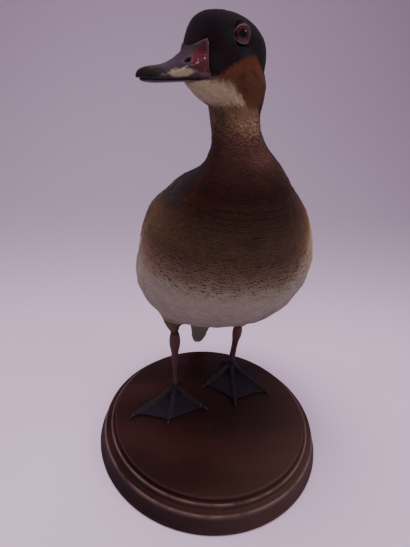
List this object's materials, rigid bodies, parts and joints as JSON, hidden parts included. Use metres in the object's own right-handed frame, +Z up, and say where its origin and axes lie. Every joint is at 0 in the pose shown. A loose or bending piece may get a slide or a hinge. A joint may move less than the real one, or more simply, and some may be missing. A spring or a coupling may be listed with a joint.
{
  "type": "mounted hybrid wood duck on a turned base",
  "caption": "Mounted drake of wood duck type standing upright on a round turned wooden base, head turned to its right, wings folded, tail hanging low.",
  "frame": {"origin": "middle of the underside of the base", "axes": "+Z up, the duck's body faces -Y, so its left side is +X"},
  "size_m": [0.2128, 0.2291, 0.3649],
  "materials": {
    "plumage": "soft matt body feathers, with the markings of each region",
    "flight_feather": "smooth close vanes with a faint sheen",
    "bill": "satin horn and bill skin, lacquered by the taxidermist",
    "eye": "polished glass eye, dark red iris and black pupil",
    "leg": "dry scaled skin and webs",
    "wood": "dark stained turned wood, satin varnish"
  },
  "bodies": {
    "root": {"base": "wood", "trunk": "plumage", "neck": "plumage", "head": "plumage", "thigh_left": "plumage", "thigh_right": "plumage", "wing_left": "flight_feather", "wing_right": "flight_feather", "tail": "flight_feather", "bill_upper": "bill", "bill_lower": "bill", "eye_left": "eye", "eye_right": "eye", "leg_left": "leg", "leg_right": "leg", "foot_left": "leg", "foot_right": "leg"}
  },
  "joints": []
}
